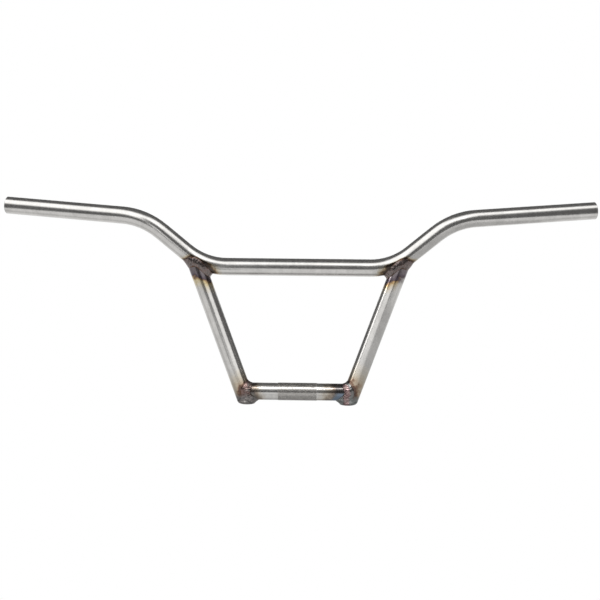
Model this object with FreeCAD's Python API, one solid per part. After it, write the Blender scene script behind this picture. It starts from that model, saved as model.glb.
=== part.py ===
"""BMX handlebar of welded steel tube, in millimetres.

A top tube with four bends carries both grips and the crossbar. Two leaning legs join it to a short
lower bar, which the stem clamps. Every tube end that meets another tube is coped to fit it and ringed
by a weld bead, and a plug closes the foot of each leg.

The origin is the middle of the lower bar. X runs along that bar and Z is up. The front of the bar
faces -Y, and the grips sweep back to +Y. Left and right are as seen from the front: left is -X.
"""
import math
import os

import FreeCAD
import Part

# Overall form, on the tubes' centre lines
BAR_WIDTH = 762.0
RISE = 235.0
CROSSBAR_HEIGHT = 162.5
CROSSBAR_BEND_SPACING = 242.0
GRIP_BEND_SPACING = 394.0
BACKSWEEP_DEG = 12.0
UPSWEEP_DEG = 3.0
BEND_RADIUS = 82.0

# The legs' centre lines, at the lower bar and at the crossbar, and how far a foot goes below
LEG_SPACING_LOW = 141.8
LEG_SPACING_HIGH = 258.8
LEG_DROP = 16.0

# Tubes
TUBE_OD = 22.2
TOP_BAR_WALL = 1.3
LEG_WALL = 1.2
LOWER_BAR_WALL = 1.8
END_CHAMFER = 0.4
COPE_GAP = 0.1

# Stem clamp area: a rolled knurl stands a little proud of the lower bar
KNURL_WIDTH = 50.0
KNURL_HEIGHT = 0.2

# Plug that closes the foot of a leg
PLUG_THICKNESS = 4.5
PLUG_ROUNDING = 3.0
PLUG_ROUNDING_STEPS = 3

# Weld beads: the reach from the root to the toes, at the sides of a joint and in its crotches
WELD_SIDE = 7.0
UPPER_WELD_INNER = 6.0
UPPER_WELD_OUTER = 7.0
LOWER_WELD_TOP = 5.5
LOWER_WELD_BOTTOM = 4.5
LOWER_WELD_FOOT = 1.6
WELD_CROWN = 2.6
WELD_HOLLOW = 0.3
WELD_ROOT_LIFT = 0.4
WELD_ROOT_DEPTH = 1.5
WELD_TOE_DEPTH = 0.3
WELD_STATION_DEG = 30
WELD_FACETS = 3

HALVINGS = 50
SAME_PLACE = 0.01
TUBE_RADIUS = TUBE_OD / 2
ORIGIN = FreeCAD.Vector(0, 0, 0)
ACROSS = FreeCAD.Vector(1, 0, 0)
FRONT = FreeCAD.Vector(0, -1, 0)


class Straight:
    """A straight stretch of a tube's centre line."""

    def __init__(self, start, end):
        self.start = start
        self.end = end
        self.length = (end - start).Length
        self.direction = (end - start).normalize()

    def nearest(self, point):
        """The closest point of the centre line, and the line's direction there."""
        along = (point - self.start).dot(self.direction)
        along = min(max(along, 0.0), self.length)
        return self.start + self.direction * along, self.direction

    def rod(self, radius):
        return Part.makeCylinder(radius, self.length, self.start, self.direction)


class Bend:
    """A bend of a tube's centre line: an arc that starts at a tangent point."""

    def __init__(self, start, direction, axis, radius, turn):
        self.start = start
        self.direction = direction
        self.axis = axis
        self.radius = radius
        self.turn = turn
        self.outward = direction.cross(axis)
        self.centre = start - self.outward * radius

    def nearest(self, point):
        """The closest point of the centre line, and the line's direction there."""
        arm = point - self.centre
        angle = math.atan2(arm.dot(self.direction), arm.dot(self.outward))
        angle = min(max(angle, 0.0), self.turn)
        outward = self.outward * math.cos(angle) + self.direction * math.sin(angle)
        direction = self.direction * math.cos(angle) - self.outward * math.sin(angle)
        return self.centre + outward * self.radius, direction

    def rod(self, radius):
        disc = Part.Face(Part.Wire(Part.makeCircle(radius, self.start, self.direction)))
        return disc.revolve(self.centre, self.axis, math.degrees(self.turn))


def bent_path(corners, bend_radius):
    """Straight stretches through the corners, joined by tangent bends."""
    stretches = []
    start = corners[0]
    for before, corner, after in zip(corners, corners[1:], corners[2:]):
        arriving = (corner - before).normalize()
        leaving = (after - corner).normalize()
        turn = arriving.getAngle(leaving)
        setback = bend_radius * math.tan(turn / 2)
        bend_start = corner - arriving * setback
        bend_axis = arriving.cross(leaving).normalize()
        stretches.append(Straight(start, bend_start))
        stretches.append(Bend(bend_start, arriving, bend_axis, bend_radius, turn))
        start = corner + leaving * setback
    stretches.append(Straight(start, corners[-1]))
    return stretches


def nearest(path, point):
    """The closest point of a whole centre line, and its direction there."""
    places = [stretch.nearest(point) for stretch in path]
    return min(places, key=lambda place: (place[0] - point).Length)


def rod(path, radius):
    """A solid round rod along a centre line."""
    pieces = [stretch.rod(radius) for stretch in path]
    if len(pieces) == 1:
        return pieces[0]
    return pieces[0].multiFuse(pieces[1:]).removeSplitter()


def turning_point(holds, low, high):
    """Where a condition that holds at low stops holding, on the way to high."""
    for _ in range(HALVINGS):
        middle = (low + high) / 2
        if holds(middle):
            low = middle
        else:
            high = middle
    return low


def top_path():
    """The top tube's centre line, from the left end to the right end."""
    sweep = math.radians(BACKSWEEP_DEG)
    lift = math.radians(UPSWEEP_DEG)
    level = math.cos(lift)
    grip = FreeCAD.Vector(level * math.cos(sweep), level * math.sin(sweep), math.sin(lift))
    reach = (BAR_WIDTH - GRIP_BEND_SPACING) / 2 / grip.x
    low_corner = FreeCAD.Vector(CROSSBAR_BEND_SPACING / 2, 0, CROSSBAR_HEIGHT)
    high_corner = FreeCAD.Vector(GRIP_BEND_SPACING / 2, 0, RISE - reach * grip.z)
    right = [low_corner, high_corner, high_corner + grip * reach]
    left = [FreeCAD.Vector(-p.x, p.y, p.z) for p in reversed(right)]
    return bent_path(left + right, BEND_RADIUS)


def leg_path(top):
    """The right leg's centre line, from below its foot up to the top tube's centre line."""
    low = FreeCAD.Vector(LEG_SPACING_LOW / 2, 0, 0)
    high = FreeCAD.Vector(LEG_SPACING_HIGH / 2, 0, CROSSBAR_HEIGHT)
    direction = (high - low).normalize()

    def under_top(distance):
        point = low + direction * distance
        centre, _ = nearest(top, point)
        return point.z < centre.z

    meeting = turning_point(under_top, 0.0, RISE + CROSSBAR_HEIGHT)
    below_foot = (LEG_DROP + TUBE_OD) / direction.z
    return [Straight(low - direction * below_foot, low + direction * meeting)]


def lower_path():
    """The lower bar's centre line, between the centre lines of the legs."""
    right_end = FreeCAD.Vector(LEG_SPACING_LOW / 2, 0, 0)
    return [Straight(right_end * -1, right_end)]


def slab(bottom, top):
    """All the space between two heights, as wide as the bar."""
    return Part.makeBox(
        2 * BAR_WIDTH, 2 * BAR_WIDTH, top - bottom, FreeCAD.Vector(-BAR_WIDTH, -BAR_WIDTH, bottom)
    )


def front_space():
    """All the space in front of the bar's middle plane."""
    return Part.makeBox(
        2 * BAR_WIDTH, BAR_WIDTH, 2 * BAR_WIDTH, FreeCAD.Vector(-BAR_WIDTH, -BAR_WIDTH, -BAR_WIDTH)
    )


def mirrored(shape, normal):
    return shape.mirror(ORIGIN, normal)


def pairs(*right_pieces):
    """Pieces of the right side, each with its twin on the left."""
    solids = []
    for piece in right_pieces:
        solids += [mirrored(piece, ACROSS), piece]
    return Part.makeCompound(solids)


def end_edges(shape, end):
    """The rims of a tube's cut end."""
    return [edge for edge in shape.Edges if edge.Closed and edge.CenterOfMass.isEqual(end, SAME_PLACE)]


def make_top_bar(top):
    wall = rod(top, TUBE_RADIUS).cut(rod(top, TUBE_RADIUS - TOP_BAR_WALL))
    rims = end_edges(wall, top[0].start) + end_edges(wall, top[-1].end)
    return wall.makeChamfer(END_CHAMFER, rims)


def make_leg(top, leg):
    plug_top = PLUG_THICKNESS - LEG_DROP
    wall = rod(leg, TUBE_RADIUS).cut(rod(leg, TUBE_RADIUS - LEG_WALL))
    above_plug = wall.common(slab(plug_top, RISE + CROSSBAR_HEIGHT))
    return above_plug.cut(rod(top, TUBE_RADIUS + COPE_GAP))


def foot_outline(leg, height, inset):
    """The ellipse in which a level plane cuts the leg at one height, drawn in by an inset."""
    direction = leg[0].direction
    centre = leg[0].end + direction * ((height - leg[0].end.z) / direction.z)
    half_depth = TUBE_RADIUS - inset
    ellipse = Part.Ellipse(centre, half_depth / direction.z, half_depth)
    return Part.Wire(ellipse.toShape())


def make_plug(leg):
    """The plug under a leg, whose lower rim is rounded in small steps."""
    outlines = [foot_outline(leg, PLUG_THICKNESS - LEG_DROP, 0.0)]
    for step in range(PLUG_ROUNDING_STEPS + 1):
        turn = math.radians(90) * step / PLUG_ROUNDING_STEPS
        height = PLUG_ROUNDING * (1 - math.sin(turn)) - LEG_DROP
        outlines.append(foot_outline(leg, height, PLUG_ROUNDING * (1 - math.cos(turn))))
    return Part.makeLoft(outlines, True, True)


def make_lower_bar(lower, leg):
    knurl_start = FreeCAD.Vector(-KNURL_WIDTH / 2, 0, 0)
    knurl = Part.makeCylinder(TUBE_RADIUS + KNURL_HEIGHT, KNURL_WIDTH, knurl_start, ACROSS)
    wall = rod(lower, TUBE_RADIUS).fuse(knurl).cut(rod(lower, TUBE_RADIUS - LOWER_BAR_WALL))
    right_cope = rod(leg, TUBE_RADIUS + COPE_GAP)
    return wall.cut([right_cope, mirrored(right_cope, ACROSS)])


def weld_section(angle, tube, run, tube_reach, run_reach):
    """The bead's section at one angle round the tube that ends on the run tube's centre line.

    The angle starts in the crotch on the inside of the bar's frame and goes over the front. The
    section's root and toes lie under the surfaces of the tubes, which later cut it.
    """
    into = tube.direction
    crotch = FRONT.cross(into)
    radial = crotch * math.cos(angle) + FRONT * math.sin(angle)
    side_line = tube.end + radial * TUBE_RADIUS

    def inside(back):
        point = side_line - into * back
        centre, _ = nearest(run, point)
        return (point - centre).Length < TUBE_RADIUS + WELD_ROOT_LIFT

    root = side_line - into * turning_point(inside, 0.0, 2 * TUBE_OD)
    centre, along = nearest(run, root)
    normal = (root - centre).normalize()
    if along.dot(crotch) < 0:
        along = along * -1
    around = normal.cross(along)
    if around.dot(into + FRONT) < 0:
        around = around * -1

    past_toe = root + (along * math.cos(angle) + around * math.sin(angle)) * run_reach
    toe_centre, _ = nearest(run, past_toe)
    toe_normal = (past_toe - toe_centre).normalize()
    run_toe = toe_centre + toe_normal * TUBE_RADIUS
    tube_toe = root - into * tube_reach
    outward = (radial + normal).normalize()
    swell = WELD_CROWN * math.sin(angle) ** 2 - WELD_HOLLOW * math.cos(angle) ** 2
    crown = (run_toe + tube_toe) * 0.5 + outward * swell

    deep_root = root - outward * WELD_ROOT_DEPTH
    deep_tube_toe = tube_toe - radial * WELD_TOE_DEPTH
    deep_run_toe = run_toe - toe_normal * WELD_TOE_DEPTH
    face = Part.BezierCurve()
    face.setPoles([deep_tube_toe, crown * 2 - (deep_tube_toe + deep_run_toe) * 0.5, deep_run_toe])
    return Part.makePolygon([deep_root, *face.discretize(WELD_FACETS + 1), deep_root])


def weld_reach(angle, crotch_reach, far_reach):
    """How far a toe lies from the root, between the two crotches of a joint and its side."""
    end_reach = crotch_reach if math.cos(angle) > 0 else far_reach
    return end_reach * math.cos(angle) ** 2 + WELD_SIDE * math.sin(angle) ** 2


def make_weld(tube, run, tube_reaches, run_reaches):
    """The bead round the end of a tube where it meets the run tube, lofted in short straight steps."""
    sections = []
    for degrees in range(-WELD_STATION_DEG, 180 + 2 * WELD_STATION_DEG, WELD_STATION_DEG):
        angle = math.radians(degrees)
        tube_reach = weld_reach(angle, *tube_reaches)
        run_reach = weld_reach(angle, *run_reaches)
        sections.append(weld_section(angle, tube[-1], run, tube_reach, run_reach))
    front = Part.makeLoft(sections, True, True).common(front_space())
    front_bead = front.cut([rod(tube, TUBE_RADIUS), rod(run, TUBE_RADIUS)])
    return front_bead.fuse(mirrored(front_bead, FRONT))


def make_parts():
    """Every piece of the bar, by name."""
    top = top_path()
    leg = leg_path(top)
    lower = lower_path()
    upper_reaches = (UPPER_WELD_INNER, UPPER_WELD_OUTER)
    upper_weld = make_weld(leg, top, upper_reaches, upper_reaches)
    lower_weld = make_weld(
        lower, leg, (LOWER_WELD_TOP, LOWER_WELD_BOTTOM), (LOWER_WELD_TOP, LOWER_WELD_FOOT)
    )
    right_leg = make_leg(top, leg)
    return {
        "top_bar": make_top_bar(top),
        "lower_bar": make_lower_bar(lower, leg),
        "left_leg": mirrored(right_leg, ACROSS),
        "right_leg": right_leg,
        "leg_plugs": pairs(make_plug(leg)),
        "weld_beads": pairs(upper_weld, lower_weld),
    }


os.makedirs("parts", exist_ok=True)
for part_name, part_shape in make_parts().items():
    part_shape.exportStep(f"parts/{part_name}.step")
    box = part_shape.BoundBox
    print(
        f"{part_name}: {len(part_shape.Solids)} solid, valid {part_shape.isValid()},"
        f" {part_shape.Volume:.1f} mm3, {box.XLength:.1f} x {box.YLength:.1f} x {box.ZLength:.1f} mm"
    )
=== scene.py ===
# %% [markdown]
# # A raw steel BMX handlebar
#
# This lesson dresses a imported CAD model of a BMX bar: bent and welded steel tube under a clear coat,
# with heat colours round the welds and a knurled clamp band. The tubes come from the CAD model as they
# are and only get finishes. The weld beads, the rounded feet and the knurl get meshes of their own,
# because their fine form is what the eye looks for on a raw bar.

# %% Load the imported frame
import math
from collections import namedtuple

import bmesh
import bpy
from mathutils import Matrix, Vector, noise


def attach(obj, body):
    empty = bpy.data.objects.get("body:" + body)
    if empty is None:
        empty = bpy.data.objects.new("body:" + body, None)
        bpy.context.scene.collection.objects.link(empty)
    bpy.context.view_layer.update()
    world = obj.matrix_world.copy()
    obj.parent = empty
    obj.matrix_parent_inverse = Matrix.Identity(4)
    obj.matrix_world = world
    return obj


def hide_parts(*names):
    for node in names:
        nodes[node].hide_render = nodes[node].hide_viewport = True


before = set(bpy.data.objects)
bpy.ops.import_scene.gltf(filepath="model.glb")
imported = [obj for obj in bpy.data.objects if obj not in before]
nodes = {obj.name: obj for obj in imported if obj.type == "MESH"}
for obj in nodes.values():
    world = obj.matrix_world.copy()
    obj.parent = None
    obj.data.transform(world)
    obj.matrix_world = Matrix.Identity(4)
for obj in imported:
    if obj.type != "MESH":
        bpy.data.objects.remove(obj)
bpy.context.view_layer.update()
scene = bpy.context.scene
scene.view_settings.view_transform = "Standard"
print("nodes:", ", ".join(sorted(nodes)))

# %% [markdown]
# ## Where the tubes run
#
# The heat colours and the weld beads follow the tubes' centre lines, so the script repeats the few that
# it needs, in metres. The bar is its own mirror image and the right half is enough: whatever belongs to
# the left is worked out for its twin on the right and then mirrored.

# %% Centre lines of the right half
MM = 0.001
TUBE_RADIUS = 11.1 * MM
FRONT = Vector((0, -1, 0))
ACROSS = Vector((1, 0, 0))
LEG_LOW = Vector((70.9, 0, 0)) * MM
LEG_HIGH = Vector((129.4, 0, 162.5)) * MM
LEG_ALONG = (LEG_HIGH - LEG_LOW).normalized()
LEG_LEAN = math.acos(LEG_ALONG.z)
BEND_RADIUS = 82 * MM
BEND_CORNER_X = 121 * MM
BEND_TURN = math.radians(39.5)
BEND_START_X = BEND_CORNER_X - BEND_RADIUS * math.tan(BEND_TURN / 2)
BEND_CENTRE = Vector((BEND_START_X, 0, LEG_HIGH.z + BEND_RADIUS))

off_centre = LEG_LOW - BEND_CENTRE
towards = off_centre.dot(LEG_ALONG)
LEG_LENGTH = -towards - math.sqrt(towards**2 - off_centre.length_squared + BEND_RADIUS**2)
LEG_END = LEG_LOW + LEG_ALONG * LEG_LENGTH
print("leg leans", round(math.degrees(LEG_LEAN), 2), "degrees")
print("leg is", round(LEG_LENGTH / MM, 1), "mm long")

# %% [markdown]
# ## Camera
#
# The photograph is taken from the front and a little above. The numbers come from fitting the bar's
# outline: a long lens 1.8 m away, looking down 9 degrees, with a hair of yaw and roll.

# %% Camera at the photograph's place
PHOTO_PIXELS = 600
FOCAL_PIXELS = 1403.659
SENSOR_MM = 36.0
VIEW_DISTANCE = 1.8
VIEW_AIM = Vector((2.524, 0, 120.228)) * MM
LOOK_DOWN = math.radians(9.104)
YAW = math.radians(-1.64)
ROLL = math.radians(0.402)

level_forward = Vector((math.sin(YAW), math.cos(YAW), 0))
forward = level_forward * math.cos(LOOK_DOWN) - Vector((0, 0, math.sin(LOOK_DOWN)))
level_right = Vector((math.cos(YAW), -math.sin(YAW), 0))
level_up = level_right.cross(forward)
view_right = level_right * math.cos(ROLL) + level_up * math.sin(ROLL)
view_up = level_up * math.cos(ROLL) - level_right * math.sin(ROLL)

camera = bpy.data.objects.new("camera", bpy.data.cameras.new("camera"))
scene.collection.objects.link(camera)
camera.data.sensor_width = SENSOR_MM
camera.data.lens = FOCAL_PIXELS * SENSOR_MM / PHOTO_PIXELS
camera.matrix_world = Matrix((view_right, view_up, -forward)).transposed().to_4x4()
camera.matrix_world.translation = VIEW_AIM - forward * VIEW_DISTANCE
scene.camera = camera
print("lens", round(camera.data.lens, 2), "mm")

# %% [markdown]
# ## Shader helpers
#
# The finishes are built from many small nodes. These helpers make one node in one line, so that a
# finish reads like the sum that it is.

# %% Helpers for shader nodes


def plug(tree, value, socket):
    """Link a socket, or set a plain value."""
    if isinstance(value, bpy.types.NodeSocket):
        tree.links.new(value, socket)
    else:
        socket.default_value = value


def add_node(tree, kind, inputs=None, **settings):
    """One node, with its inputs linked or set."""
    made = tree.nodes.new(kind)
    for name, value in settings.items():
        setattr(made, name, value)
    for name, value in (inputs or {}).items():
        plug(tree, value, made.inputs[name])
    return made


def calc(tree, operation, *values):
    """One Math node."""
    made = add_node(tree, "ShaderNodeMath", operation=operation)
    for socket, value in zip(made.inputs, values):
        plug(tree, value, socket)
    return made.outputs[0]


def length_of(tree, a, b):
    """The long side of a right-angled triangle."""
    return calc(tree, "SQRT", calc(tree, "MULTIPLY_ADD", a, a, calc(tree, "MULTIPLY", b, b)))


def above(tree, value, start):
    """How far a value is above its start, and 0 below it."""
    return calc(tree, "MAXIMUM", calc(tree, "SUBTRACT", value, start), 0.0)


def remap(tree, value, low, high, to_low, to_high):
    """Turn one range into another, with soft ends."""
    made = add_node(tree, "ShaderNodeMapRange", {"Value": value}, interpolation_type="SMOOTHSTEP")
    made.inputs["From Min"].default_value = low
    made.inputs["From Max"].default_value = high
    made.inputs["To Min"].default_value = to_low
    made.inputs["To Max"].default_value = to_high
    return made.outputs["Result"]


def speckle(tree, place, scale, detail, roughness=0.6):
    """Noise between 0 and 1."""
    inputs = {"Vector": place, "Scale": scale, "Detail": detail, "Roughness": roughness}
    return add_node(tree, "ShaderNodeTexNoise", inputs).outputs["Fac"]


def colour_ramp(tree, value, stops):
    """A colour from stops of position and colour."""
    made = add_node(tree, "ShaderNodeValToRGB", {"Fac": value})
    bands = made.color_ramp.elements
    while len(bands) < len(stops):
        bands.new(1.0)
    for band, (position, colour) in zip(bands, stops):
        band.position = position
        band.color = (*colour, 1.0)
    return made.outputs["Color"]


def blend(tree, share, first, second):
    """Mix two colours."""
    made = add_node(tree, "ShaderNodeMix", data_type="RGBA")
    factor, _, _, _, _, _, colour_a, colour_b = made.inputs[:8]
    plug(tree, share, factor)
    for socket, colour in ((colour_a, first), (colour_b, second)):
        plug(tree, colour if isinstance(colour, bpy.types.NodeSocket) else (*colour, 1.0), socket)
    return made.outputs[2]


def new_material(name):
    """A material with its node tree, its surface shader and the place in the object."""
    made = bpy.data.materials.new(name)
    made.use_nodes = True
    tree = made.node_tree
    place = add_node(tree, "ShaderNodeTexCoord").outputs["Object"]
    return made, tree, tree.nodes["Principled BSDF"], place


print("shader helpers are ready")

# %% [markdown]
# ## Studio
#
# Bare steel shows its surroundings more than its own colour, so the studio is part of the finish. The
# bands on the tubes tell what stood there. A white table lies just under the bar and ends about a metre
# in front. On it are the bar's own shade and two grey sheets. A dark room lies beyond, and one great
# softbox hangs high in front. The table and the world are white to the camera, which gives the white
# page. The room, the shade and the sheets are only there for the reflections.
#
# Lamps add the lights that the room leaves out. Each of them lights only the pieces in its list, which
# no real lamp can do, but it keeps one highlight from spoiling the next. The narrow ones make the thin
# bright lines along the tubes.

# %% White world and white table
PAGE_WHITE = (1.0, 1.0, 1.0, 1.0)
TABLE_HEIGHT = -0.044
TABLE_CORNERS = ((-0.75, -0.88), (0.70, -0.88), (0.70, 3.5), (-0.75, 3.5))

world = bpy.data.worlds.new("white page")
scene.world = world
world.use_nodes = True
page = world.node_tree.nodes["Background"]
page.inputs["Color"].default_value = PAGE_WHITE
page.inputs["Strength"].default_value = 1.0


def glow(name, strength):
    """A surface that shines white. Strength is a number, or a function that makes it from the place."""
    made, tree, surface, place = new_material(name)
    tree.nodes.remove(surface)
    level = strength(tree, place) if callable(strength) else strength
    shine = add_node(tree, "ShaderNodeEmission", {"Color": PAGE_WHITE, "Strength": level})
    output = tree.nodes["Material Output"]
    tree.links.new(shine.outputs[0], output.inputs["Surface"])
    return made


def card(name, corners, strength, seen=False):
    """A flat stage card through its corners."""
    shape = bmesh.new()
    shape.faces.new([shape.verts.new(corner) for corner in corners])
    mesh = bpy.data.meshes.new(name)
    shape.to_mesh(mesh)
    shape.free()
    mesh.materials.append(glow(name, strength))
    made = bpy.data.objects.new(name, mesh)
    scene.collection.objects.link(made)
    made.visible_camera = seen
    print("card:", name)
    return made


card("table", [(x, y, TABLE_HEIGHT) for x, y in TABLE_CORNERS], 1.0, seen=True)
print("table", round(TABLE_HEIGHT / MM), "mm below the clamp's middle")

# %% The bar's own shade on the table
SHADE_LIFT = 0.002
SHADE_CORNERS = ((-0.62, -0.55), (0.54, -0.55), (0.54, 0.55), (-0.62, 0.55))
SHADE_REACH = 0.13
SHADE_SIDES = (0.1, 0.25)
SHADE_DARK = 0.45
SHADE_OUTER = 0.68
SHADE_PALE = 0.92


def table_shade(tree, place):
    """Darkest under the clamp, and paler out to the sides and away from the bar."""
    parts = add_node(tree, "ShaderNodeSeparateXYZ", {"Vector": place})
    out = calc(tree, "ABSOLUTE", parts.outputs["X"])
    off = calc(tree, "ABSOLUTE", parts.outputs["Y"])
    dark = remap(tree, out, *SHADE_SIDES, SHADE_DARK, SHADE_OUTER)
    clear = remap(tree, off, 0.0, SHADE_REACH, 0.0, 1.0)
    return calc(tree, "MULTIPLY_ADD", calc(tree, "SUBTRACT", SHADE_PALE, dark), clear, dark)


card("table_shade", [(x, y, TABLE_HEIGHT + SHADE_LIFT) for x, y in SHADE_CORNERS], table_shade)

# %% Two grey sheets on the table
SHEET_LIFT = 0.004
LEFT_SHEET = ((-0.09, -0.26), (-0.19, -0.26), (-0.40, -0.84), (-0.22, -0.84))
RIGHT_SHEET = ((0.12, -0.66), (0.42, -0.66), (0.42, 0.2), (0.12, 0.2))
LEFT_SHEET_LEVEL = 0.40
RIGHT_SHEET_LEVEL = 0.60

card("left_sheet", [(x, y, TABLE_HEIGHT + SHEET_LIFT) for x, y in LEFT_SHEET], LEFT_SHEET_LEVEL)
card("right_sheet", [(x, y, TABLE_HEIGHT + SHEET_LIFT) for x, y in RIGHT_SHEET], RIGHT_SHEET_LEVEL)

# %% The dark room and its great softbox
ROOM_RADIUS = 4.2
ROOM_SEGMENTS = 48
ROOM_RINGS = 24
ROOM_LEVEL = 0.15
BOX_LEVEL = 1.65
BOX_SOFTNESS = 9.0
BOX_LEFT = -88.0
BOX_RIGHT = 80.0
BOX_TOP = ((-110.0, 69.0), (-60.0, 71.0), (-30.0, 73.0), (110.0, 73.0))
BOX_BOTTOM = (
    (-110.0, 26.0),
    (-36.0, 28.0),
    (-25.0, 20.0),
    (-14.0, 19.0),
    (-5.0, 43.0),
    (4.0, 43.5),
    (20.0, 31.0),
    (30.0, 40.0),
    (40.0, 46.0),
    (60.0, 40.0),
    (110.0, 40.0),
)
FULL_TURN = 360.0
RIGHT_ANGLE = 90.0


def graph(tree, azimuth, points):
    """A height in degrees from straight lines between points of azimuth and height."""
    share = calc(tree, "MULTIPLY_ADD", azimuth, 1 / FULL_TURN, 0.5)
    stops = [(turn / FULL_TURN + 0.5, (height / RIGHT_ANGLE,) * 3) for turn, height in points]
    return calc(tree, "MULTIPLY", colour_ramp(tree, share, stops), RIGHT_ANGLE)


def room_glow(tree, place):
    """Dark all round, with a broad softbox high in front that hangs lower on the left."""
    parts = add_node(tree, "ShaderNodeSeparateXYZ", {"Vector": place})
    x, y, z = parts.outputs
    ahead = calc(tree, "MULTIPLY", y, -1.0)
    azimuth = calc(tree, "DEGREES", calc(tree, "ARCTAN2", x, ahead))
    height = calc(tree, "DEGREES", calc(tree, "ARCTAN2", z, length_of(tree, x, y)))
    depths = (
        calc(tree, "SUBTRACT", height, graph(tree, azimuth, BOX_BOTTOM)),
        calc(tree, "SUBTRACT", graph(tree, azimuth, BOX_TOP), height),
        calc(tree, "SUBTRACT", azimuth, BOX_LEFT),
        calc(tree, "SUBTRACT", BOX_RIGHT, azimuth),
    )
    inside = 1.0
    for depth in depths:
        within = remap(tree, depth, -BOX_SOFTNESS, BOX_SOFTNESS, 0.0, 1.0)
        inside = calc(tree, "MULTIPLY", inside, within)
    return calc(tree, "MULTIPLY_ADD", inside, BOX_LEVEL, ROOM_LEVEL)


shape = bmesh.new()
bmesh.ops.create_uvsphere(
    shape,
    u_segments=ROOM_SEGMENTS,
    v_segments=ROOM_RINGS,
    radius=ROOM_RADIUS,
)
bmesh.ops.reverse_faces(shape, faces=shape.faces)
mesh = bpy.data.meshes.new("dark_room")
shape.to_mesh(mesh)
shape.free()
mesh.materials.append(glow("dark_room", room_glow))
room = bpy.data.objects.new("dark_room", mesh)
scene.collection.objects.link(room)
room.visible_camera = False
print("room", ROOM_RADIUS, "m in radius, softbox from", BOX_LEFT, "to", BOX_RIGHT, "degrees")

# %% A lamp that lights only some pieces


def softbox(name, aim, azimuth, elevation, distance, width, height, radiance, lit):
    """An area lamp that faces a point and lights only some objects.

    Azimuth 0 is the front and 90 the right, in degrees. Lengths are in metres.
    """
    lamp = bpy.data.lights.new(name, "AREA")
    lamp.shape = "RECTANGLE"
    lamp.size = width
    lamp.size_y = height
    lamp.energy = radiance * math.pi * width * height
    made = bpy.data.objects.new(name, lamp)
    scene.collection.objects.link(made)
    turn = math.radians(azimuth)
    lift = math.radians(elevation)
    level = math.cos(lift)
    towards = Vector((math.sin(turn) * level, -math.cos(turn) * level, math.sin(lift)))
    made.location = aim + towards * distance
    made.rotation_euler = towards.to_track_quat("Z", "Y").to_euler()
    made.visible_camera = False
    receivers = bpy.data.collections.new(name + " receivers")
    for piece in lit:
        receivers.objects.link(piece)
    made.light_linking.receiver_collection = receivers
    print("lamp:", name, "lights", ", ".join(piece.name for piece in lit))
    return made


# %% Lamps for the tubes
CLAMP_MIDDLE = Vector((0, 0, 0))
RIGHT_LEG_MIDDLE = (LEG_LOW + LEG_HIGH) / 2
LEFT_LEG_MIDDLE = Vector((-RIGHT_LEG_MIDDLE.x, 0, RIGHT_LEG_MIDDLE.z))
LEFT_SLOPE = Vector((-0.165, 0, 0.2))
CROSSBAR_MIDDLE = Vector((0, 0, LEG_HIGH.z))
left_leg = nodes["left_leg"]
right_leg = nodes["right_leg"]
top_bar = nodes["top_bar"]
lower_bar = nodes["lower_bar"]
tubes = [left_leg, right_leg, top_bar, lower_bar]

# Columns: name, aim, azimuth, elevation, distance, width, height, radiance, lit pieces.
TUBE_LAMPS = (
    ("left_leg_lamp", LEFT_LEG_MIDDLE, 36, 4, 1.2, 1.0, 0.6, 1.15, [left_leg]),
    ("right_leg_lamp", RIGHT_LEG_MIDDLE, -33, 2, 1.2, 1.4, 0.5, 1.05, [right_leg]),
    ("right_leg_strip", RIGHT_LEG_MIDDLE, -77, 10, 1.2, 0.36, 0.6, 2.1, [right_leg]),
    ("right_leg_high", LEG_END, -77, 10, 0.25, 0.03, 0.04, 12.0, [right_leg]),
    ("under_lamp", CLAMP_MIDDLE, 0, -65, 0.038, 0.094, 0.042, 0.26, [lower_bar]),
    ("left_slope_lamp", LEFT_SLOPE, -9, -2, 0.8, 0.15, 0.28, 1.2, [top_bar]),
    ("left_slope_high", LEFT_SLOPE, 37, 38, 0.8, 0.3, 0.3, 0.75, [top_bar]),
    ("rear_strip", CROSSBAR_MIDDLE, 180, 8, 2.0, 3.0, 0.35, 1.2, tubes),
)
for lamp_row in TUBE_LAMPS:
    softbox(*lamp_row)

# %% [markdown]
# ## Raw steel with heat colours
#
# The tubes are brushed steel under a thin clear coat. Welding leaves bands of colour on the steel that
# depend on how hot it got: charcoal beside the bead, then violet and brown, then straw, then bare metal.
# So the finish works out how far each place is from the other tube of the joint, in millimetres, and a
# colour ramp turns that into the band. Noise keeps the bands from being neat rings. The top tube is
# welded from below, and its upper half is kept clear of heat colour. This is partly because the heat
# stays low, and partly a painted highlight, so that the bright band of the softbox runs on over the
# joints.

# %% Distances from the joints, in nodes
SIDE_BLEND = 0.01
# Past the end of the leg the heat fades faster.
QUENCH = 1.9


def twin_parts(tree, place):
    """Object coordinates with the left half read as the right one: x, y and z in millimetres."""
    in_mm = add_node(tree, "ShaderNodeVectorMath", {0: place, "Scale": 1 / MM}, operation="SCALE")
    parts = add_node(tree, "ShaderNodeSeparateXYZ", {"Vector": in_mm.outputs[0]})
    return calc(tree, "ABSOLUTE", parts.outputs["X"]), parts.outputs["Y"], parts.outputs["Z"]


def right_half(tree, parts):
    """0 on the bar's left half and 1 on its right half."""
    return remap(tree, parts.outputs["X"], -SIDE_BLEND, SIDE_BLEND, 0.0, 1.0)


def by_leg(tree, place):
    """Place by the leg's centre line: sideways, front to back and along."""
    x, y, z = twin_parts(tree, place)
    from_low = calc(tree, "SUBTRACT", x, LEG_LOW.x / MM)
    side = calc(tree, "MULTIPLY_ADD", from_low, LEG_ALONG.z, calc(tree, "MULTIPLY", z, -LEG_ALONG.x))
    along = calc(tree, "MULTIPLY_ADD", from_low, LEG_ALONG.x, calc(tree, "MULTIPLY", z, LEG_ALONG.z))
    return side, y, along


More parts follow.
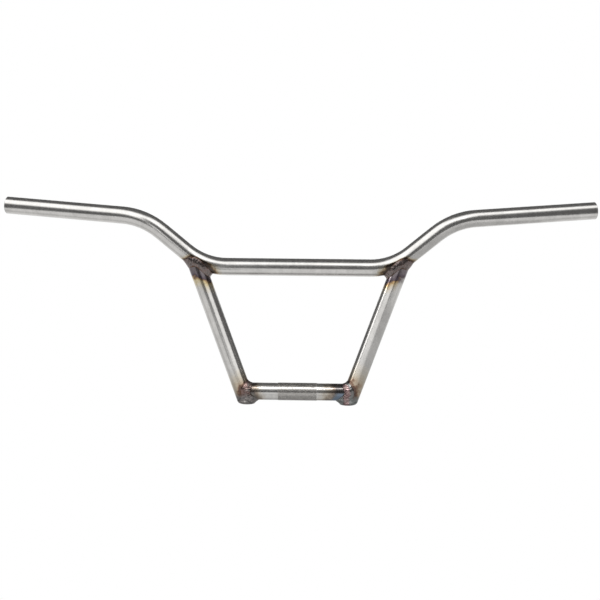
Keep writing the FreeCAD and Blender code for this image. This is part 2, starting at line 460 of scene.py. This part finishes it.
def off_leg(tree, place):
    """From the leg's surface, and past the leg's end where it meets the top tube."""
    side, y, along = by_leg(tree, place)
    outside = above(tree, length_of(tree, side, y), TUBE_RADIUS / MM)
    past = above(tree, along, LEG_LENGTH / MM)
    return length_of(tree, outside, calc(tree, "MULTIPLY", past, QUENCH))


def bend_height(tree, place):
    """How high above the centre line of the top tube's inner bend."""
    x, _, z = twin_parts(tree, place)
    bend_x = calc(tree, "SUBTRACT", x, BEND_CENTRE.x / MM)
    bend_z = calc(tree, "SUBTRACT", z, BEND_CENTRE.z / MM)
    return calc(tree, "SUBTRACT", BEND_RADIUS / MM, length_of(tree, bend_x, bend_z))


def off_bend(tree, place):
    """From the surface of the top tube's inner bend."""
    _, y, _ = twin_parts(tree, place)
    return calc(tree, "SUBTRACT", length_of(tree, bend_height(tree, place), y), TUBE_RADIUS / MM)


def off_lower_bar(tree, place):
    """From the lower bar's surface, and past the bar's end at the leg's middle."""
    x, y, z = twin_parts(tree, place)
    outside = above(tree, length_of(tree, y, z), TUBE_RADIUS / MM)
    past = above(tree, x, LEG_LOW.x / MM)
    return length_of(tree, outside, past)


# %% The bands of colour
STEEL = (0.60, 0.588, 0.57)
CHARCOAL = (0.035, 0.030, 0.032)
HEAT_REACH = 30.0
HEAT_WANDER = 13.0
WANDER_SCALE = 150.0
TOP_TUBE_BANDS = (
    (0.0, CHARCOAL),
    (8.5, (0.075, 0.058, 0.048)),
    (10.5, (0.180, 0.120, 0.070)),
    (12.0, (0.390, 0.310, 0.210)),
    (14.5, (0.530, 0.485, 0.400)),
    (19.0, STEEL),
)
LEG_TOP_BANDS = (
    (0.0, (0.090, 0.078, 0.080)),
    (3.0, (0.175, 0.152, 0.155)),
    (6.0, (0.160, 0.138, 0.148)),
    (8.5, (0.110, 0.088, 0.105)),
    (10.0, (0.075, 0.055, 0.062)),
    (11.5, (0.230, 0.150, 0.095)),
    (13.0, (0.420, 0.310, 0.155)),
    (15.0, (0.560, 0.475, 0.300)),
    (19.0, (0.600, 0.550, 0.450)),
    (25.0, STEEL),
)
RIGHT_LEG_TOP_BANDS = LEG_TOP_BANDS[:5] + (
    (11.5, (0.230, 0.145, 0.085)),
    (13.5, (0.430, 0.290, 0.140)),
    (16.5, (0.530, 0.440, 0.310)),
    (20.0, (0.580, 0.540, 0.480)),
    (25.0, STEEL),
)
RIGHT_LEG_OUTER_BANDS = LEG_TOP_BANDS[:5] + (
    (12.0, (0.160, 0.140, 0.145)),
    (14.5, (0.340, 0.320, 0.310)),
    (18.0, (0.520, 0.505, 0.485)),
    (23.0, STEEL),
)
LEG_FOOT_BANDS = (
    (0.0, (0.120, 0.080, 0.070)),
    (3.0, (0.130, 0.080, 0.060)),
    (4.2, (0.230, 0.140, 0.095)),
    (6.0, (0.440, 0.350, 0.260)),
    (9.5, (0.550, 0.490, 0.400)),
    (16.0, (0.590, 0.555, 0.495)),
    (24.0, STEEL),
)
# Bands for the lower bar's upper half: heat colour, partly darkened near the joint as painted shade.
LOWER_BAR_TOP_HEAT_AND_SHADE = (
    (0.0, (0.095, 0.092, 0.090)),
    (5.5, (0.110, 0.100, 0.096)),
    (8.0, (0.200, 0.160, 0.130)),
    (11.0, (0.430, 0.380, 0.320)),
    (14.0, (0.560, 0.530, 0.490)),
    (18.0, STEEL),
)
LOWER_BAR_BANDS = (
    (0.0, (0.200, 0.200, 0.185)),
    (4.5, (0.190, 0.182, 0.162)),
    (6.5, (0.200, 0.165, 0.140)),
    (9.5, (0.340, 0.290, 0.235)),
    (13.0, (0.520, 0.480, 0.425)),
    (18.0, STEEL),
)


def heat_colour(tree, place, distance, bands):
    """The band's colour at a distance in millimetres from the joint."""
    wander = calc(tree, "SUBTRACT", speckle(tree, place, WANDER_SCALE, 3.0), 0.5)
    shifted = calc(tree, "MULTIPLY_ADD", wander, HEAT_WANDER, distance)
    stops = [(reach / HEAT_REACH, colour) for reach, colour in bands]
    return colour_ramp(tree, calc(tree, "DIVIDE", shifted, HEAT_REACH), stops)


print("heat colours reach", HEAT_REACH, "mm at most")

# %% The steel finish
# Nearly all of a noise lies in the wide range, and most of it in the narrow one.
NOISE_WIDE = (0.25, 0.75)
NOISE_NARROW = (0.3, 0.7)
BRUSH_SCALE = (1800.0, 70.0, 70.0)
BRUSH_DEPTH = 0.00003
BRUSH_STRENGTH = 0.05
STEEL_ROUGHNESS = (0.19, 0.25)
STEEL_COAT = 0.2
COAT_ROUGHNESS = 0.1


def brushed_steel(tree, surface, place, colour, brush_turn):
    """Give a surface the brushed, lightly stained look. The brush marks go round the tube."""
    turned = add_node(tree, "ShaderNodeMapping", {"Vector": place, "Rotation": (0.0, brush_turn, 0.0)})
    turned.inputs["Scale"].default_value = BRUSH_SCALE
    brush = speckle(tree, turned.outputs[0], 1.0, 4.0, 0.65)
    stain = remap(tree, speckle(tree, place, 60.0, 4.0), *NOISE_NARROW, 0.90, 1.04)
    mark = remap(tree, speckle(tree, place, 330.0, 2.0), *NOISE_WIDE, 0.96, 1.03)
    streak = remap(tree, brush, *NOISE_WIDE, 0.95, 1.05)
    tone = calc(tree, "MULTIPLY", calc(tree, "MULTIPLY", stain, mark), streak)
    toned = add_node(tree, "ShaderNodeVectorMath", {0: colour, "Scale": tone}, operation="SCALE")
    tree.links.new(toned.outputs[0], surface.inputs["Base Color"])
    roughness = remap(tree, brush, *NOISE_WIDE, *STEEL_ROUGHNESS)
    tree.links.new(roughness, surface.inputs["Roughness"])
    relief = {"Height": brush, "Strength": BRUSH_STRENGTH, "Distance": BRUSH_DEPTH}
    bump = add_node(tree, "ShaderNodeBump", relief)
    tree.links.new(bump.outputs["Normal"], surface.inputs["Normal"])
    surface.inputs["Metallic"].default_value = 1.0
    surface.inputs["Coat Weight"].default_value = STEEL_COAT
    surface.inputs["Coat Roughness"].default_value = COAT_ROUGHNESS


# %% Steel of the top tube
# The top tube's heat colour is cut back on its upper half: partly real, partly painted highlight.
COOLING_AND_HIGHLIGHT = 20.0
OUTER_COOLING = 3.0
OUTER_WIDTH = 8.0
COOLS_AND_HIGHLIGHT_FROM = 2.0
COOLS_AND_HIGHLIGHT_TO = 5.5


def top_tube_steel():
    """Heat colours that stay low under the tube; the clear upper half is partly painted highlight."""
    made, tree, surface, place = new_material("top tube steel")
    # Partly painted highlight: above these heights the heat colour fades out, where the bright band
    # falls.
    cooler_and_highlight = remap(tree, bend_height(tree, place), COOLS_AND_HIGHLIGHT_FROM, COOLS_AND_HIGHLIGHT_TO, 0.0, COOLING_AND_HIGHLIGHT)
    out, _, _ = twin_parts(tree, place)
    outer = remap(tree, out, LEG_END.x / MM, LEG_END.x / MM + OUTER_WIDTH, 0.0, OUTER_COOLING)
    distance = calc(tree, "ADD", off_leg(tree, place), calc(tree, "ADD", cooler_and_highlight, outer))
    colour = heat_colour(tree, place, distance, TOP_TUBE_BANDS)
    brushed_steel(tree, surface, place, colour, 0.0)
    return made


top_steel = top_tube_steel()
print(top_steel.name, "is ready")

# %% Steel of the lower bar
TEMPER_BLUE = (0.190, 0.250, 0.330)
TEMPER_SHARE = 0.9
TEMPER_TOP = 0.003
TEMPER_FULL = -0.002
TEMPER_SCALE = 220.0
TEMPER_WANDER = 3.0
TEMPER_OUTER = 9.0
TEMPER_INNER = 6.0
RIGHT_HEAT = 0.52
BAR_HALVES_FROM = -2.5
BAR_HALVES_TO = 0.5


def lower_bar_steel():
    """Heat colours darker on the upper half, partly painted shade, and a blue temper under the right
    end.
    """
    made, tree, surface, place = new_material("lower bar steel")
    parts = add_node(tree, "ShaderNodeSeparateXYZ", {"Vector": place})
    right = right_half(tree, parts)
    hotter = calc(tree, "MULTIPLY_ADD", right, RIGHT_HEAT - 1.0, 1.0)
    distance = calc(tree, "MULTIPLY", off_leg(tree, place), hotter)
    _, _, height = twin_parts(tree, place)
    low = heat_colour(tree, place, distance, LOWER_BAR_BANDS)
    high = heat_colour(tree, place, distance, LOWER_BAR_TOP_HEAT_AND_SHADE)
    # Partly painted shade: the upper half takes the darker bands.
    upper = remap(tree, height, BAR_HALVES_FROM, BAR_HALVES_TO, 0.0, 1.0)
    colour = blend(tree, upper, low, high)
    under = remap(tree, parts.outputs["Z"], TEMPER_TOP, TEMPER_FULL, 0.0, TEMPER_SHARE)
    stray = speckle(tree, place, TEMPER_SCALE, 3.0)
    ragged = calc(tree, "MULTIPLY_ADD", stray, TEMPER_WANDER, distance)
    near = remap(tree, ragged, TEMPER_OUTER, TEMPER_INNER, 0.0, 1.0)
    share = calc(tree, "MULTIPLY", calc(tree, "MULTIPLY", right, under), near)
    brushed_steel(tree, surface, place, blend(tree, share, colour, TEMPER_BLUE), 0.0)
    return made


lower_steel = lower_bar_steel()
print(lower_steel.name, "is ready")

# %% Ground weld metal
LEFT_GROUND = (
    (0.30, (0.080, 0.075, 0.075)),
    (0.45, (0.210, 0.200, 0.195)),
    (0.55, (0.240, 0.215, 0.205)),
    (0.70, (0.440, 0.425, 0.410)),
)
RIGHT_GROUND = (
    (0.30, (0.150, 0.158, 0.154)),
    (0.50, (0.225, 0.236, 0.230)),
    (0.70, (0.330, 0.335, 0.330)),
)
STRIPE_GROUND = (
    (0.30, (0.140, 0.080, 0.085)),
    (0.50, (0.300, 0.203, 0.200)),
    (0.70, (0.470, 0.375, 0.360)),
)
GRAIN_SCALE = 330.0
STRIPE_SCALE = 260.0
STRIPE_PLACE = 63.5
STRIPE_INNER = 2.0
STRIPE_OUTER = 5.0
STRIPE_WANDER = 9.0


def ground_metal(tree, place):
    """The mottled grey of ground weld metal. On the right it is smoother, with a pink stripe."""
    grain = speckle(tree, place, GRAIN_SCALE, 4.0)
    parts = add_node(tree, "ShaderNodeSeparateXYZ", {"Vector": place})
    right = right_half(tree, parts)
    out, _, _ = twin_parts(tree, place)
    stray = speckle(tree, place, STRIPE_SCALE, 3.0)
    ragged = calc(tree, "MULTIPLY_ADD", stray, STRIPE_WANDER, out)
    past_middle = calc(tree, "SUBTRACT", ragged, STRIPE_PLACE + STRIPE_WANDER / 2)
    off_stripe = calc(tree, "ABSOLUTE", past_middle)
    stripe = remap(tree, off_stripe, STRIPE_OUTER, STRIPE_INNER, 0.0, 1.0)
    left_metal = colour_ramp(tree, grain, LEFT_GROUND)
    plain_metal = colour_ramp(tree, grain, RIGHT_GROUND)
    pink_metal = colour_ramp(tree, grain, STRIPE_GROUND)
    return blend(tree, right, left_metal, blend(tree, stripe, plain_metal, pink_metal))


# %% Steel of the legs
OUTER_FROM = 1.0
OUTER_TO = 6.0
RIGHT_FOOT_HEAT = 0.7
LEG_HALVES_FROM = 0.07
LEG_HALVES_TO = 0.09
GRIND_SCALE = 170.0
GRIND_WANDER = 0.008
GRIND_TOP = 0.002
GRIND_FULL = -0.004


def leg_steel(name, brush_turn, top_bands, outer_bands):
    """Heat colours at both ends of a leg, and ground metal at its foot."""
    made, tree, surface, place = new_material(name)
    side, _, _ = by_leg(tree, place)
    from_bend = off_bend(tree, place)
    inner = heat_colour(tree, place, from_bend, top_bands)
    outer = heat_colour(tree, place, from_bend, outer_bands)
    high = blend(tree, remap(tree, side, OUTER_FROM, OUTER_TO, 0.0, 1.0), inner, outer)
    parts = add_node(tree, "ShaderNodeSeparateXYZ", {"Vector": place})
    level = parts.outputs["Z"]
    right = right_half(tree, parts)
    hotter = calc(tree, "MULTIPLY_ADD", right, RIGHT_FOOT_HEAT - 1.0, 1.0)
    distance = calc(tree, "MULTIPLY", off_lower_bar(tree, place), hotter)
    low = heat_colour(tree, place, distance, LEG_FOOT_BANDS)
    upper_half = remap(tree, level, LEG_HALVES_FROM, LEG_HALVES_TO, 0.0, 1.0)
    colour = blend(tree, upper_half, low, high)
    stray = speckle(tree, place, GRIND_SCALE, 3.0)
    ragged = calc(tree, "MULTIPLY_ADD", stray, GRIND_WANDER, level)
    foot = remap(tree, ragged, GRIND_TOP, GRIND_FULL, 0.0, 1.0)
    colour = blend(tree, foot, colour, ground_metal(tree, place))
    brushed_steel(tree, surface, place, colour, brush_turn)
    return made


right_bands = (RIGHT_LEG_TOP_BANDS, RIGHT_LEG_OUTER_BANDS)
right_leg_steel = leg_steel("right leg steel", math.pi / 2 - LEG_LEAN, *right_bands)
left_bands = (LEG_TOP_BANDS, LEG_TOP_BANDS)
left_leg_steel = leg_steel("left leg steel", LEG_LEAN - math.pi / 2, *left_bands)
print(left_leg_steel.name, "and", right_leg_steel.name, "are ready")

# %% Dress the tubes


def dress(node_name, material):
    """Give a CAD node its finish."""
    node = nodes[node_name]
    for material_slot in node.material_slots:
        material_slot.material = material
    print("dressed", node_name)


dress("top_bar", top_steel)
dress("lower_bar", lower_steel)
dress("left_leg", left_leg_steel)
dress("right_leg", right_leg_steel)

# %% A helper for new pieces


def new_piece(name, shape, materials):
    """An object of the bar from a finished bmesh."""
    mesh = bpy.data.meshes.new(name)
    shape.to_mesh(mesh)
    shape.free()
    for material in materials:
        mesh.materials.append(material)
    made = bpy.data.objects.new(name, mesh)
    scene.collection.objects.link(made)
    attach(made, "root")
    print(name, len(mesh.polygons), "faces")
    return made


# %% [markdown]
# ## Weld beads
#
# A bead fills the angle between two tubes and reaches a few millimetres along both. Its section is an
# arc from a toe on one tube over the crown to a toe on the other. The section changes all the way
# round: in the crotches it is a hollow fillet, at the sides a low convex ridge. So the bead starts as a
# ring of vertices along one toe. The ring is extruded again and again, and each new ring goes to the
# next line of the sections. A hand-laid bead is also a row of overlapping puddles, so crescent ripples
# and lumps are added on the crown, while the toes stay on the tubes.

# %% Sections of a bead
WELD_SIDE = 8.0 * MM
WELD_CROWN = 2.0 * MM
WELD_HOLLOWS = (1.1 * MM, 0.3 * MM)
WELD_ROOT_LIFT = 0.4 * MM
WELD_ROOT_DEPTH = 1.2 * MM
WELD_TOE_DEPTH = 0.2 * MM
HALVINGS = 30

Joint = namedtuple("Joint", "tube_end into run_line tube_reaches run_reaches")
Section = namedtuple("Section", "tube_toe control run_toe root outward angle")


def top_line(place):
    """The nearest point on the top tube's centre line near the joint, and the direction there."""
    arm = place - BEND_CENTRE
    turn = min(max(math.atan2(arm.x, -arm.z), 0.0), BEND_TURN)
    along = Vector((math.cos(turn), 0, math.sin(turn)))
    on_bend = BEND_CENTRE + Vector((math.sin(turn), 0, -math.cos(turn))) * BEND_RADIUS
    return on_bend + along * (place - on_bend).dot(along), along


def leg_line(place):
    return LEG_LOW + LEG_ALONG * (place - LEG_LOW).dot(LEG_ALONG), LEG_ALONG


UPPER_JOINT = Joint(LEG_END, LEG_ALONG, top_line, (6.0 * MM, 7.0 * MM), (6.0 * MM, 7.0 * MM))
LOWER_JOINT = Joint(LEG_LOW, ACROSS, leg_line, (5.5 * MM, 5.5 * MM), (5.5 * MM, 3.2 * MM))


def between(angle, ends, side):
    """A size that has one value in each crotch, inner then outer, and another at the tube's sides."""
    end = ends[0] if math.cos(angle) > 0 else ends[1]
    return end * math.cos(angle) ** 2 + side * math.sin(angle) ** 2


def front_section(joint, angle):
    """The section at an angle from the inner crotch (0) over the front to the outer crotch (pi)."""
    crotch = FRONT.cross(joint.into)
    radial = crotch * math.cos(angle) + FRONT * math.sin(angle)
    start = joint.tube_end + radial * TUBE_RADIUS
    inside = 0.0
    outside = 4 * TUBE_RADIUS
    for _ in range(HALVINGS):
        middle = (inside + outside) / 2
        place = start - joint.into * middle
        if (place - joint.run_line(place)[0]).length < TUBE_RADIUS + WELD_ROOT_LIFT:
            inside = middle
        else:
            outside = middle
    root = start - joint.into * inside
    centre, along = joint.run_line(root)
    normal = (root - centre).normalized()
    if along.dot(crotch) < 0:
        along = -along
    around = normal.cross(along)
    if around.dot(joint.into + FRONT) < 0:
        around = -around
    away = along * math.cos(angle) + around * math.sin(angle)
    past_toe = root + away * between(angle, joint.run_reaches, WELD_SIDE)
    toe_centre, _ = joint.run_line(past_toe)
    toe_normal = (past_toe - toe_centre).normalized()
    run_toe = toe_centre + toe_normal * (TUBE_RADIUS - WELD_TOE_DEPTH)
    tube_reach = between(angle, joint.tube_reaches, WELD_SIDE)
    tube_toe = root - joint.into * tube_reach - radial * WELD_TOE_DEPTH
    outward = (radial + normal).normalized()
    hollow = between(angle, WELD_HOLLOWS, -WELD_CROWN)
    control = (run_toe + tube_toe) / 2 - outward * hollow * 2
    return Section(tube_toe, control, run_toe, root - outward * WELD_ROOT_DEPTH, outward, angle)


def mirrored_y(place):
    return Vector((place.x, -place.y, place.z))


def whole_section(joint, angle):
    """As above for the whole way round: the back is the front's mirror image."""
    if angle <= math.pi:
        return front_section(joint, angle)
    front = front_section(joint, 2 * math.pi - angle)
    return Section(*(mirrored_y(place) for place in front[:5]), angle)


# %% Beads with ripples
BEAD_STATIONS = 260
BEAD_STEPS = 16
RIPPLE_PITCH = 2.3 * MM
RIPPLE_BOW = 2.2 * MM
RIPPLE_HEIGHT = 0.32 * MM
RIPPLE_POWER = 0.8
RIPPLE_MEAN = 0.6
RIPPLE_WANDER = 1.4 * MM
WANDERS_PER_M = 110
LUMP_HEIGHT = 0.45 * MM
LUMPS_PER_M = 210.0
FINE_LUMPS = 2.7
FINE_LUMP_SHARE = 0.5
CROWN_POWER = 0.7


def bead_place(section, share, side):
    """A point of the bead's face. Share goes from 0 at the tube's toe to 1 at the run tube's toe."""
    back = 1 - share
    plain = section.tube_toe * back**2 + section.control * 2 * back * share + section.run_toe * share**2
    crown = (4 * share * back) ** CROWN_POWER
    own = Vector((plain.x * side, plain.y, plain.z))
    travel = section.angle * (TUBE_RADIUS + WELD_CROWN) + RIPPLE_BOW * (2 * share - 1) ** 2
    travel += RIPPLE_WANDER * noise.noise(own * WANDERS_PER_M)
    wave = abs(math.sin(math.pi * travel / RIPPLE_PITCH)) ** RIPPLE_POWER - RIPPLE_MEAN
    fine_lump = noise.noise(own * LUMPS_PER_M * FINE_LUMPS)
    lump = noise.noise(own * LUMPS_PER_M) + FINE_LUMP_SHARE * fine_lump
    return plain + section.outward * crown * (RIPPLE_HEIGHT * wave + LUMP_HEIGHT * lump)


def only(kind, geometry):
    """The items of one kind, such as vertices."""
    return [item for item in geometry if isinstance(item, kind)]


def make_bead(name, joint, side, material):
    """A closed bead round a joint. Side is 1 on the right and -1 on the left."""
    sections = [whole_section(joint, 2 * math.pi * i / BEAD_STATIONS) for i in range(BEAD_STATIONS)]
    shape = bmesh.new()
    station = shape.verts.layers.int.new("station")
    across = shape.verts.layers.float.new("across")
    ring = bmesh.ops.create_circle(shape, segments=BEAD_STATIONS, radius=TUBE_RADIUS)["verts"]
    for index, vert in enumerate(ring):
        vert[station] = index
    first_edges = list(shape.edges)
    edges = first_edges
    for step in range(BEAD_STEPS + 1):
        for vert in ring:
            vert[across] = step / BEAD_STEPS
            vert.co = bead_place(sections[vert[station]], vert[across], side)
        grown = bmesh.ops.extrude_edge_only(shape, edges=edges)["geom"]
        ring = only(bmesh.types.BMVert, grown)
        edges = only(bmesh.types.BMEdge, grown)
    for vert in ring:
        vert.co = sections[vert[station]].root
    bmesh.ops.bridge_loops(shape, edges=edges + first_edges)
    bmesh.ops.scale(shape, verts=shape.verts, vec=(side, 1, 1))
    bmesh.ops.recalc_face_normals(shape, faces=shape.faces)
    for face in shape.faces:
        face.smooth = True
    made = new_piece(name, shape, [material])
    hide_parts("weld_beads")
    return made


# %% Bead finish
BEAD_DARK = (0.060, 0.048, 0.050)
BEAD_GREY = (0.225, 0.204, 0.194)
PATCH_STOPS = (0.30, 0.42, 0.50, 0.58, 0.70)
PATCH_SCALE = 240.0
PATCH_WANDER = 0.5
RUN_TINT = (0.52, 0.68)
RUN_TINT_SHARE = 0.85
TOE_TINT = (0.16, 0.02)
BEAD_GRIND_WANDER = 0.006
BEAD_GRIND_TOP = 0.002
BEAD_GRIND_FULL = -0.003
FINE_SCALE = 1500.0
BEAD_ROUGHNESS = (0.16, 0.34)
BEAD_RELIEF = 0.25
BEAD_DEPTH = 0.0002
BEAD_COAT = 0.25


def weld_metal(name, patch_colours, toe_colour, run_colour):
    """Oxide patches, dark toes, a tint beside the run tube, and ground metal at the foot."""
    made, tree, surface, place = new_material(name)
    patch = speckle(tree, place, PATCH_SCALE, 4.0)
    colour = colour_ramp(tree, patch, list(zip(PATCH_STOPS, patch_colours)))
    share = add_node(tree, "ShaderNodeAttribute", attribute_name="across").outputs["Fac"]
    stray = calc(tree, "SUBTRACT", patch, 0.5)
    ragged = calc(tree, "MULTIPLY_ADD", stray, PATCH_WANDER, share)
    by_run = remap(tree, ragged, *RUN_TINT, 0.0, RUN_TINT_SHARE)
    colour = blend(tree, by_run, colour, run_colour)
    off_middle = calc(tree, "ABSOLUTE", calc(tree, "SUBTRACT", ragged, 0.5))
    from_toe = calc(tree, "SUBTRACT", 0.5, off_middle)
    colour = blend(tree, remap(tree, from_toe, *TOE_TINT, 0.0, 1.0), colour, toe_colour)
    parts = add_node(tree, "ShaderNodeSeparateXYZ", {"Vector": place})
    level = calc(tree, "MULTIPLY_ADD", patch, BEAD_GRIND_WANDER, parts.outputs["Z"])
    foot = remap(tree, level, BEAD_GRIND_TOP, BEAD_GRIND_FULL, 0.0, 1.0)
    colour = blend(tree, foot, colour, ground_metal(tree, place))
    tree.links.new(colour, surface.inputs["Base Color"])
    fine = speckle(tree, place, FINE_SCALE, 3.0)
    roughness = remap(tree, fine, *NOISE_NARROW, *BEAD_ROUGHNESS)
    tree.links.new(roughness, surface.inputs["Roughness"])
    relief = {"Height": fine, "Strength": BEAD_RELIEF, "Distance": BEAD_DEPTH}
    bump = add_node(tree, "ShaderNodeBump", relief)
    tree.links.new(bump.outputs["Normal"], surface.inputs["Normal"])
    surface.inputs["Metallic"].default_value = 1.0
    surface.inputs["Coat Weight"].default_value = BEAD_COAT
    surface.inputs["Coat Roughness"].default_value = COAT_ROUGHNESS
    return made


# %% The four beads
TOE_BROWN = (0.110, 0.055, 0.030)
TOE_BLACK = (0.045, 0.035, 0.035)
UPPER_RUN = (0.180, 0.146, 0.140)
LEFT_RUN = (0.205, 0.132, 0.118)
RIGHT_RUN = (0.235, 0.246, 0.240)
UPPER_PATCHES = (
    BEAD_DARK,
    (0.150, 0.126, 0.122),
    (0.195, 0.170, 0.158),
    (0.180, 0.126, 0.118),
    (0.340, 0.272, 0.255),
)
LEFT_PATCHES = (
    BEAD_DARK,
    (0.185, 0.128, 0.116),
    (0.255, 0.175, 0.158),
    BEAD_GREY,
    (0.470, 0.395, 0.378),
)
RIGHT_PATCHES = (
    BEAD_DARK,
    (0.225, 0.140, 0.147),
    (0.330, 0.216, 0.214),
    (0.375, 0.290, 0.258),
    (0.50, 0.40, 0.38),
)
upper_metal = weld_metal("upper weld metal", UPPER_PATCHES, TOE_BROWN, UPPER_RUN)
lower_left_metal = weld_metal("lower left weld metal", LEFT_PATCHES, TOE_BROWN, LEFT_RUN)
lower_right_metal = weld_metal("lower right weld metal", RIGHT_PATCHES, TOE_BLACK, RIGHT_RUN)

beads = [
    make_bead("upper_left_bead", UPPER_JOINT, -1, upper_metal),
    make_bead("upper_right_bead", UPPER_JOINT, 1, upper_metal),
    make_bead("lower_left_bead", LOWER_JOINT, -1, lower_left_metal),
    make_bead("lower_right_bead", LOWER_JOINT, 1, lower_right_metal),
]
lower_beads = beads[2:]
softbox("bead_lamp", CLAMP_MIDDLE, -5, 52, 1.2, 1.2, 0.35, 2.0, lower_beads)

# %% [markdown]
# ## Rounded feet
#
# A plug closes the foot of each leg and its rim is ground round. The leg leans, so a level cut through
# it is an ellipse. The foot is drawn as that ellipse, extruded down along the leg's lean and bevelled.

# %% Feet
FOOT_TOP = -11.5 * MM
FOOT_BOTTOM = -16.0 * MM
FOOT_ROUNDING = 3.0 * MM
FOOT_SEGMENTS = 96
ROUNDING_SEGMENTS = 8
FLAT_WITHIN = 0.001 * MM


def leg_x(height):
    """Where the right leg's centre line is at a height."""
    return LEG_LOW.x + LEG_ALONG.x / LEG_ALONG.z * height


def make_foot(name, side, material):
    """A rounded foot. Side is 1 on the right and -1 on the left."""
    shape = bmesh.new()
    bmesh.ops.create_circle(shape, cap_ends=True, segments=FOOT_SEGMENTS, radius=TUBE_RADIUS)
    bmesh.ops.scale(shape, verts=shape.verts, vec=(1 / LEG_ALONG.z, 1, 1))
    bmesh.ops.translate(shape, verts=shape.verts, vec=(leg_x(FOOT_TOP), 0, FOOT_TOP))
    grown = bmesh.ops.extrude_face_region(shape, geom=list(shape.faces))["geom"]
    down = Vector((leg_x(FOOT_BOTTOM) - leg_x(FOOT_TOP), 0, FOOT_BOTTOM - FOOT_TOP))
    bmesh.ops.translate(shape, verts=only(bmesh.types.BMVert, grown), vec=down)
    low_verts = {v for v in shape.verts if abs(v.co.z - FOOT_BOTTOM) < FLAT_WITHIN}
    rim = [e for e in shape.edges if low_verts.issuperset(e.verts)]
    bmesh.ops.bevel(
        shape,
        geom=rim,
        offset=FOOT_ROUNDING,
        segments=ROUNDING_SEGMENTS,
        profile=0.5,
        affect="EDGES",
        material=-1,
    )
    bmesh.ops.scale(shape, verts=shape.verts, vec=(side, 1, 1))
    bmesh.ops.recalc_face_normals(shape, faces=shape.faces)
    for face in shape.faces:
        face.smooth = face.calc_center_median().z < FOOT_TOP - FLAT_WITHIN
    made = new_piece(name, shape, [material])
    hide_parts("leg_plugs")
    return made


make_foot("left_foot", -1, left_leg_steel)
make_foot("right_foot", 1, right_leg_steel)

# %% [markdown]
# ## Knurl
#
# The clamp band is rolled with a diamond knurl that bites into the stem: shiny flat-topped diamonds
# with dull grooves between. It starts as an open cylinder of small squares. Poking every square and
# dissolving its old edges leaves diamonds, and insetting each of those with a depth raises its flat
# top. A narrow lamp draws the bright line along the lower bar, the knurl and the lower beads.

# %% Knurl finish
GROOVE_GREY = (0.700, 0.680, 0.652)
CREST_GREY = (0.465, 0.450, 0.430)
GROOVE_ROUGHNESS = 0.9
CREST_ROUGHNESS = 0.26
TONE_SCALE = 260.0
TONE_RANGE = (0.92, 1.05)


def knurl_steel(name, grey, roughness):
    """Plain steel of one grey with faint cloudiness."""
    made, tree, surface, place = new_material(name)
    tone = remap(tree, speckle(tree, place, TONE_SCALE, 3.0), *NOISE_NARROW, *TONE_RANGE)
    toned = add_node(tree, "ShaderNodeVectorMath", {0: grey, "Scale": tone}, operation="SCALE")
    tree.links.new(toned.outputs[0], surface.inputs["Base Color"])
    surface.inputs["Metallic"].default_value = 1.0
    surface.inputs["Roughness"].default_value = roughness
    return made


crest_steel = knurl_steel("knurl crests", CREST_GREY, CREST_ROUGHNESS)
groove_steel = knurl_steel("knurl grooves", GROOVE_GREY, GROOVE_ROUGHNESS)
print(crest_steel.name, "and", groove_steel.name, "are ready")

# %% Knurl band
KNURL_WIDTH = 50 * MM
KNURL_RADIUS = 11.32 * MM
KNURL_AROUND = 76
KNURL_HEIGHT = 0.1 * MM
KNURL_SLOPE = 0.04 * MM
KNURL_SKIN = 0.015 * MM

shape = bmesh.new()
bmesh.ops.create_cone(
    shape,
    cap_ends=False,
    segments=KNURL_AROUND,
    radius1=KNURL_RADIUS,
    radius2=KNURL_RADIUS,
    depth=KNURL_WIDTH,
)
square = 2 * math.pi * KNURL_RADIUS / KNURL_AROUND
rows = round(KNURL_WIDTH / square)
long_edges = [e for e in shape.edges if abs(e.verts[0].co.z - e.verts[1].co.z) > KNURL_WIDTH / 2]
bmesh.ops.subdivide_edges(shape, edges=long_edges, cuts=rows - 1, use_grid_fill=True)
bmesh.ops.rotate(shape, verts=shape.verts, matrix=Matrix.Rotation(math.pi / 2, 3, "Y"))
grid_edges = [e for e in shape.edges if len(e.link_faces) == 2]
bmesh.ops.poke(shape, faces=shape.faces, offset=0.0)
bmesh.ops.dissolve_edges(shape, edges=grid_edges, use_verts=False)
for vert in shape.verts:
    ring_place = Vector((0, vert.co.y, vert.co.z)).normalized() * KNURL_RADIUS
    vert.co = Vector((vert.co.x, ring_place.y, ring_place.z))
bmesh.ops.recalc_face_normals(shape, faces=shape.faces)
some_face = shape.faces[:][0]
if some_face.normal.dot(some_face.calc_center_median() * Vector((0, 1, 1))) < 0:
    bmesh.ops.reverse_faces(shape, faces=shape.faces)
diamonds = [f for f in shape.faces if len(f.verts) == 4]
bmesh.ops.solidify(shape, geom=shape.faces, thickness=KNURL_SKIN)
for face in shape.faces:
    face.material_index = 1
for face in diamonds:
    face.material_index = 0
raised = bmesh.ops.inset_individual(
    shape,
    faces=diamonds,
    thickness=KNURL_SLOPE,
    depth=KNURL_HEIGHT,
)
for face in raised["faces"]:
    face.material_index = 1
knurl = new_piece("clamp_knurl", shape, [crest_steel, groove_steel])
print("knurl:", len(diamonds), "diamonds")
strip_lit = [lower_bar, knurl, *lower_beads]
softbox("strip_lamp", CLAMP_MIDDLE, 0, 60, 1.2, 0.5, 0.05, 26.0, strip_lit)
